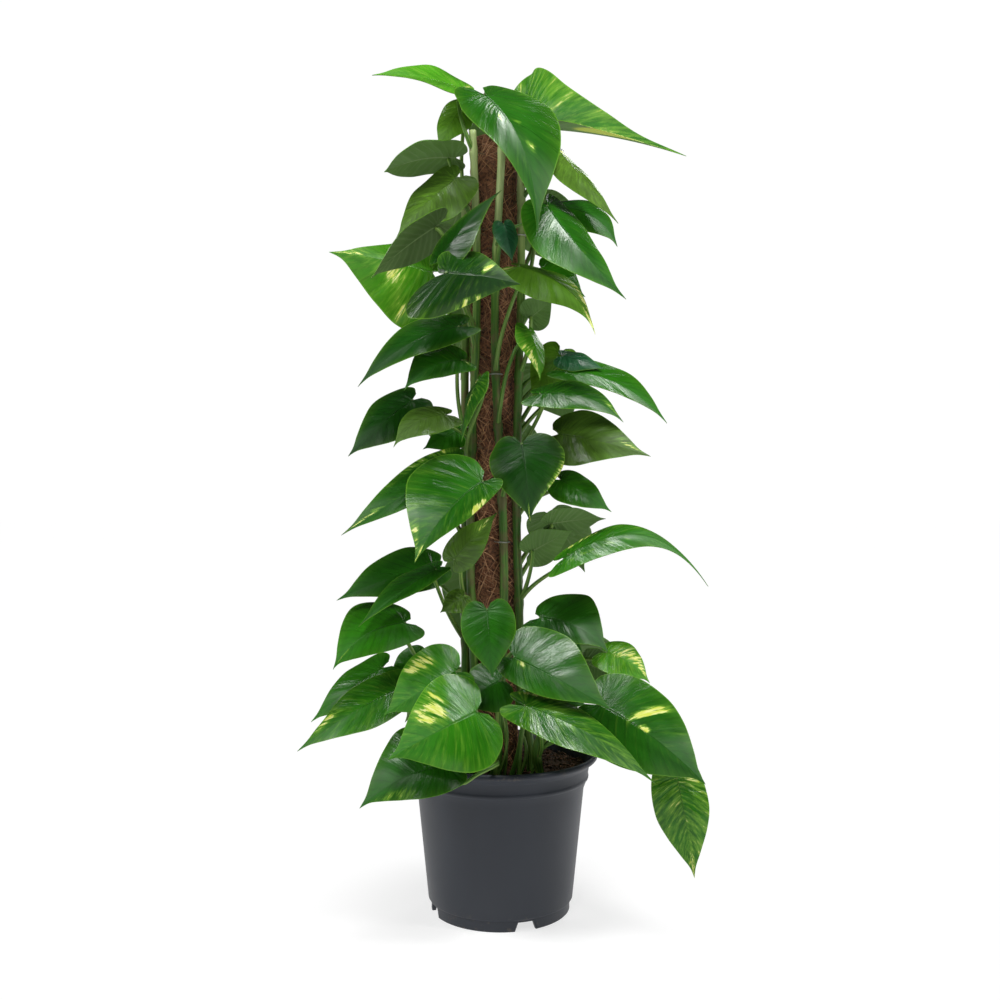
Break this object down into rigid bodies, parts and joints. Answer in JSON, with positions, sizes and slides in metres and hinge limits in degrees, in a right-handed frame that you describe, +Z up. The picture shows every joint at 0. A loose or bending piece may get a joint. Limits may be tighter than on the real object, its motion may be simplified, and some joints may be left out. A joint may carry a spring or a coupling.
{
  "type": "potted scindapsus",
  "caption": "Climbing scindapsus with heart-shaped variegated leaves, grown up a coir pole in a round nursery pot.",
  "frame": {"origin": "on the floor, on the pot's axis, below the middle of the plant", "axes": "+Z up along the pot and the pole, -Y towards the front with the fullest leaves, +X to the right"},
  "size_m": [0.3752, 0.271, 0.8267],
  "materials": {
    "pot_plastic": "matte",
    "soil": "matte",
    "stake_wood": "matte",
    "coir": "matte",
    "pin_wire": "satin",
    "foliage": "satin"
  },
  "bodies": {
    "root": {"pot": "pot_plastic", "soil": "soil", "pole_stake": "stake_wood", "coir_sleeve": "coir", "stem_pin_1": "pin_wire", "stem_pin_2": "pin_wire", "stem_pin_3": "pin_wire", "stem_pin_4": "pin_wire", "stem_pin_5": "pin_wire", "stem_pin_6": "pin_wire", "stem_pin_7": "pin_wire", "stem_pin_8": "pin_wire", "stem_pin_9": "pin_wire", "vine_front_right": "foliage", "vine_front_left": "foliage", "vine_right": "foliage", "vine_left": "foliage", "vine_back_right": "foliage", "vine_back": "foliage", "vine_back_left": "foliage", "shoot_low_left": "foliage", "shoot_low_right": "foliage"}
  },
  "joints": []
}
